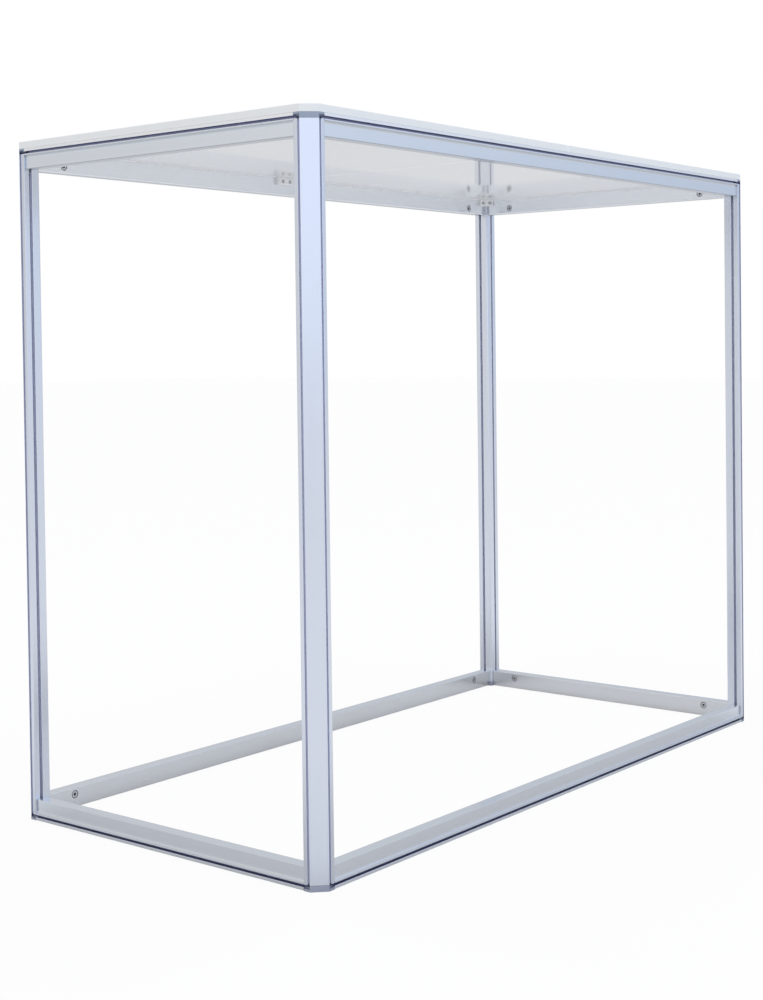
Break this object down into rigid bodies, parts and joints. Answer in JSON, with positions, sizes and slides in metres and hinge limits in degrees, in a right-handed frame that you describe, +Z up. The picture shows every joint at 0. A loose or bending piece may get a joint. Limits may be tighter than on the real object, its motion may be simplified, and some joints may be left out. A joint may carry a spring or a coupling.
{
  "type": "display case",
  "caption": "Open rectangular display case: frame of grooved aluminium profile with cut corners and a split flat top, held by hex-socket tension locks.",
  "frame": {"origin": "on the floor under the middle of the case", "axes": "+X along the long side, +Y towards the rear long side, +Z up"},
  "size_m": [1.2, 0.585, 1],
  "materials": {
    "anodised_aluminium": "satin anodised, extruded",
    "grey_plastic": "moulded, fine matt",
    "white_plastic": "moulded, satin",
    "white_gloss_board": "high gloss faces and soft edges",
    "zinc_plated_steel": "zinc plated"
  },
  "bodies": {
    "frame": {"post_front_left": "anodised_aluminium", "foot_front_left": "grey_plastic", "cap_front_left": "grey_plastic", "corner_block_front_left": "white_plastic", "post_front_right": "anodised_aluminium", "foot_front_right": "grey_plastic", "cap_front_right": "grey_plastic", "corner_block_front_right": "white_plastic", "post_rear_left": "anodised_aluminium", "foot_rear_left": "grey_plastic", "cap_rear_left": "grey_plastic", "corner_block_rear_left": "white_plastic", "post_rear_right": "anodised_aluminium", "foot_rear_right": "grey_plastic", "cap_rear_right": "grey_plastic", "corner_block_rear_right": "white_plastic", "rail_bottom_front": "anodised_aluminium", "rail_bottom_rear": "anodised_aluminium", "rail_bottom_left": "anodised_aluminium", "rail_bottom_right": "anodised_aluminium", "rail_top_front": "anodised_aluminium", "rail_top_rear": "anodised_aluminium", "rail_top_left": "anodised_aluminium", "rail_top_right": "anodised_aluminium", "joint_block_front": "white_plastic", "joint_block_rear": "white_plastic", "top_left": "white_gloss_board", "top_right": "white_gloss_board"},
    "screw_bottom_front_left": {"lock_screw_bottom_front_left": "zinc_plated_steel"},
    "hook_bottom_front_left": {"lock_hook_bottom_front_left": "zinc_plated_steel"},
    "screw_bottom_front_right": {"lock_screw_bottom_front_right": "zinc_plated_steel"},
    "hook_bottom_front_right": {"lock_hook_bottom_front_right": "zinc_plated_steel"},
    "screw_bottom_rear_left": {"lock_screw_bottom_rear_left": "zinc_plated_steel"},
    "hook_bottom_rear_left": {"lock_hook_bottom_rear_left": "zinc_plated_steel"},
    "screw_bottom_rear_right": {"lock_screw_bottom_rear_right": "zinc_plated_steel"},
    "hook_bottom_rear_right": {"lock_hook_bottom_rear_right": "zinc_plated_steel"},
    "screw_bottom_left_front": {"lock_screw_bottom_left_front": "zinc_plated_steel"},
    "hook_bottom_left_front": {"lock_hook_bottom_left_front": "zinc_plated_steel"},
    "screw_bottom_left_rear": {"lock_screw_bottom_left_rear": "zinc_plated_steel"},
    "hook_bottom_left_rear": {"lock_hook_bottom_left_rear": "zinc_plated_steel"},
    "screw_bottom_right_front": {"lock_screw_bottom_right_front": "zinc_plated_steel"},
    "hook_bottom_right_front": {"lock_hook_bottom_right_front": "zinc_plated_steel"},
    "screw_bottom_right_rear": {"lock_screw_bottom_right_rear": "zinc_plated_steel"},
    "hook_bottom_right_rear": {"lock_hook_bottom_right_rear": "zinc_plated_steel"},
    "screw_top_front_left": {"lock_screw_top_front_left": "zinc_plated_steel"},
    "hook_top_front_left": {"lock_hook_top_front_left": "zinc_plated_steel"},
    "screw_top_front_right": {"lock_screw_top_front_right": "zinc_plated_steel"},
    "hook_top_front_right": {"lock_hook_top_front_right": "zinc_plated_steel"},
    "screw_top_rear_left": {"lock_screw_top_rear_left": "zinc_plated_steel"},
    "hook_top_rear_left": {"lock_hook_top_rear_left": "zinc_plated_steel"},
    "screw_top_rear_right": {"lock_screw_top_rear_right": "zinc_plated_steel"},
    "hook_top_rear_right": {"lock_hook_top_rear_right": "zinc_plated_steel"},
    "screw_top_left_front": {"lock_screw_top_left_front": "zinc_plated_steel"},
    "hook_top_left_front": {"lock_hook_top_left_front": "zinc_plated_steel"},
    "screw_top_left_rear": {"lock_screw_top_left_rear": "zinc_plated_steel"},
    "hook_top_left_rear": {"lock_hook_top_left_rear": "zinc_plated_steel"},
    "screw_top_right_front": {"lock_screw_top_right_front": "zinc_plated_steel"},
    "hook_top_right_front": {"lock_hook_top_right_front": "zinc_plated_steel"},
    "screw_top_right_rear": {"lock_screw_top_right_rear": "zinc_plated_steel"},
    "hook_top_right_rear": {"lock_hook_top_right_rear": "zinc_plated_steel"}
  },
  "joints": [
    {"name": "turn_bottom_front_left", "type": "hinge", "parent": "frame", "child": "screw_bottom_front_left", "pos_m": [-0.52, -0.2705, 0.02], "axis": [0, 1, 0], "range_deg": [0, 180]},
    {"name": "draw_bottom_front_left", "type": "slide", "parent": "frame", "child": "hook_bottom_front_left", "axis": [-1, 0, 0], "range_m": [0, 0.0016]},
    {"name": "turn_bottom_front_right", "type": "hinge", "parent": "frame", "child": "screw_bottom_front_right", "pos_m": [0.52, -0.2705, 0.02], "axis": [0, 1, 0], "range_deg": [0, 180]},
    {"name": "draw_bottom_front_right", "type": "slide", "parent": "frame", "child": "hook_bottom_front_right", "axis": [1, 0, 0], "range_m": [0, 0.0016]},
    {"name": "turn_bottom_rear_left", "type": "hinge", "parent": "frame", "child": "screw_bottom_rear_left", "pos_m": [-0.52, 0.2705, 0.02], "axis": [0, -1, 0], "range_deg": [0, 180]},
    {"name": "draw_bottom_rear_left", "type": "slide", "parent": "frame", "child": "hook_bottom_rear_left", "axis": [-1, 0, 0], "range_m": [0, 0.0016]},
    {"name": "turn_bottom_rear_right", "type": "hinge", "parent": "frame", "child": "screw_bottom_rear_right", "pos_m": [0.52, 0.2705, 0.02], "axis": [0, -1, 0], "range_deg": [0, 180]},
    {"name": "draw_bottom_rear_right", "type": "slide", "parent": "frame", "child": "hook_bottom_rear_right", "axis": [1, 0, 0], "range_m": [0, 0.0016]},
    {"name": "turn_bottom_left_front", "type": "hinge", "parent": "frame", "child": "screw_bottom_left_front", "pos_m": [-0.578, -0.2125, 0.02], "axis": [1, 0, 0], "range_deg": [0, 180]},
    {"name": "draw_bottom_left_front", "type": "slide", "parent": "frame", "child": "hook_bottom_left_front", "axis": [0, -1, 0], "range_m": [0, 0.0016]},
    {"name": "turn_bottom_left_rear", "type": "hinge", "parent": "frame", "child": "screw_bottom_left_rear", "pos_m": [-0.578, 0.2125, 0.02], "axis": [1, 0, 0], "range_deg": [0, 180]},
    {"name": "draw_bottom_left_rear", "type": "slide", "parent": "frame", "child": "hook_bottom_left_rear", "axis": [0, 1, 0], "range_m": [0, 0.0016]},
    {"name": "turn_bottom_right_front", "type": "hinge", "parent": "frame", "child": "screw_bottom_right_front", "pos_m": [0.578, -0.2125, 0.02], "axis": [-1, 0, 0], "range_deg": [0, 180]},
    {"name": "draw_bottom_right_front", "type": "slide", "parent": "frame", "child": "hook_bottom_right_front", "axis": [0, -1, 0], "range_m": [0, 0.0016]},
    {"name": "turn_bottom_right_rear", "type": "hinge", "parent": "frame", "child": "screw_bottom_right_rear", "pos_m": [0.578, 0.2125, 0.02], "axis": [-1, 0, 0], "range_deg": [0, 180]},
    {"name": "draw_bottom_right_rear", "type": "slide", "parent": "frame", "child": "hook_bottom_right_rear", "axis": [0, 1, 0], "range_m": [0, 0.0016]},
    {"name": "turn_top_front_left", "type": "hinge", "parent": "frame", "child": "screw_top_front_left", "pos_m": [-0.52, -0.2705, 0.9702], "axis": [0, 1, 0], "range_deg": [0, 180]},
    {"name": "draw_top_front_left", "type": "slide", "parent": "frame", "child": "hook_top_front_left", "axis": [-1, 0, 0], "range_m": [0, 0.0016]},
    {"name": "turn_top_front_right", "type": "hinge", "parent": "frame", "child": "screw_top_front_right", "pos_m": [0.52, -0.2705, 0.9702], "axis": [0, 1, 0], "range_deg": [0, 180]},
    {"name": "draw_top_front_right", "type": "slide", "parent": "frame", "child": "hook_top_front_right", "axis": [1, 0, 0], "range_m": [0, 0.0016]},
    {"name": "turn_top_rear_left", "type": "hinge", "parent": "frame", "child": "screw_top_rear_left", "pos_m": [-0.52, 0.2705, 0.9702], "axis": [0, -1, 0], "range_deg": [0, 180]},
    {"name": "draw_top_rear_left", "type": "slide", "parent": "frame", "child": "hook_top_rear_left", "axis": [-1, 0, 0], "range_m": [0, 0.0016]},
    {"name": "turn_top_rear_right", "type": "hinge", "parent": "frame", "child": "screw_top_rear_right", "pos_m": [0.52, 0.2705, 0.9702], "axis": [0, -1, 0], "range_deg": [0, 180]},
    {"name": "draw_top_rear_right", "type": "slide", "parent": "frame", "child": "hook_top_rear_right", "axis": [1, 0, 0], "range_m": [0, 0.0016]},
    {"name": "turn_top_left_front", "type": "hinge", "parent": "frame", "child": "screw_top_left_front", "pos_m": [-0.578, -0.2125, 0.9702], "axis": [1, 0, 0], "range_deg": [0, 180]},
    {"name": "draw_top_left_front", "type": "slide", "parent": "frame", "child": "hook_top_left_front", "axis": [0, -1, 0], "range_m": [0, 0.0016]},
    {"name": "turn_top_left_rear", "type": "hinge", "parent": "frame", "child": "screw_top_left_rear", "pos_m": [-0.578, 0.2125, 0.9702], "axis": [1, 0, 0], "range_deg": [0, 180]},
    {"name": "draw_top_left_rear", "type": "slide", "parent": "frame", "child": "hook_top_left_rear", "axis": [0, 1, 0], "range_m": [0, 0.0016]},
    {"name": "turn_top_right_front", "type": "hinge", "parent": "frame", "child": "screw_top_right_front", "pos_m": [0.578, -0.2125, 0.9702], "axis": [-1, 0, 0], "range_deg": [0, 180]},
    {"name": "draw_top_right_front", "type": "slide", "parent": "frame", "child": "hook_top_right_front", "axis": [0, -1, 0], "range_m": [0, 0.0016]},
    {"name": "turn_top_right_rear", "type": "hinge", "parent": "frame", "child": "screw_top_right_rear", "pos_m": [0.578, 0.2125, 0.9702], "axis": [-1, 0, 0], "range_deg": [0, 180]},
    {"name": "draw_top_right_rear", "type": "slide", "parent": "frame", "child": "hook_top_right_rear", "axis": [0, 1, 0], "range_m": [0, 0.0016]}
  ],
  "couplings": [
    {"joint": "turn_bottom_front_left", "follows": "draw_bottom_front_left", "rad_per_m": 1963},
    {"joint": "turn_bottom_front_right", "follows": "draw_bottom_front_right", "rad_per_m": 1963},
    {"joint": "turn_bottom_rear_left", "follows": "draw_bottom_rear_left", "rad_per_m": 1963},
    {"joint": "turn_bottom_rear_right", "follows": "draw_bottom_rear_right", "rad_per_m": 1963},
    {"joint": "turn_bottom_left_front", "follows": "draw_bottom_left_front", "rad_per_m": 1963},
    {"joint": "turn_bottom_left_rear", "follows": "draw_bottom_left_rear", "rad_per_m": 1963},
    {"joint": "turn_bottom_right_front", "follows": "draw_bottom_right_front", "rad_per_m": 1963},
    {"joint": "turn_bottom_right_rear", "follows": "draw_bottom_right_rear", "rad_per_m": 1963},
    {"joint": "turn_top_front_left", "follows": "draw_top_front_left", "rad_per_m": 1963},
    {"joint": "turn_top_front_right", "follows": "draw_top_front_right", "rad_per_m": 1963},
    {"joint": "turn_top_rear_left", "follows": "draw_top_rear_left", "rad_per_m": 1963},
    {"joint": "turn_top_rear_right", "follows": "draw_top_rear_right", "rad_per_m": 1963},
    {"joint": "turn_top_left_front", "follows": "draw_top_left_front", "rad_per_m": 1963},
    {"joint": "turn_top_left_rear", "follows": "draw_top_left_rear", "rad_per_m": 1963},
    {"joint": "turn_top_right_front", "follows": "draw_top_right_front", "rad_per_m": 1963},
    {"joint": "turn_top_right_rear", "follows": "draw_top_right_rear", "rad_per_m": 1963}
  ]
}
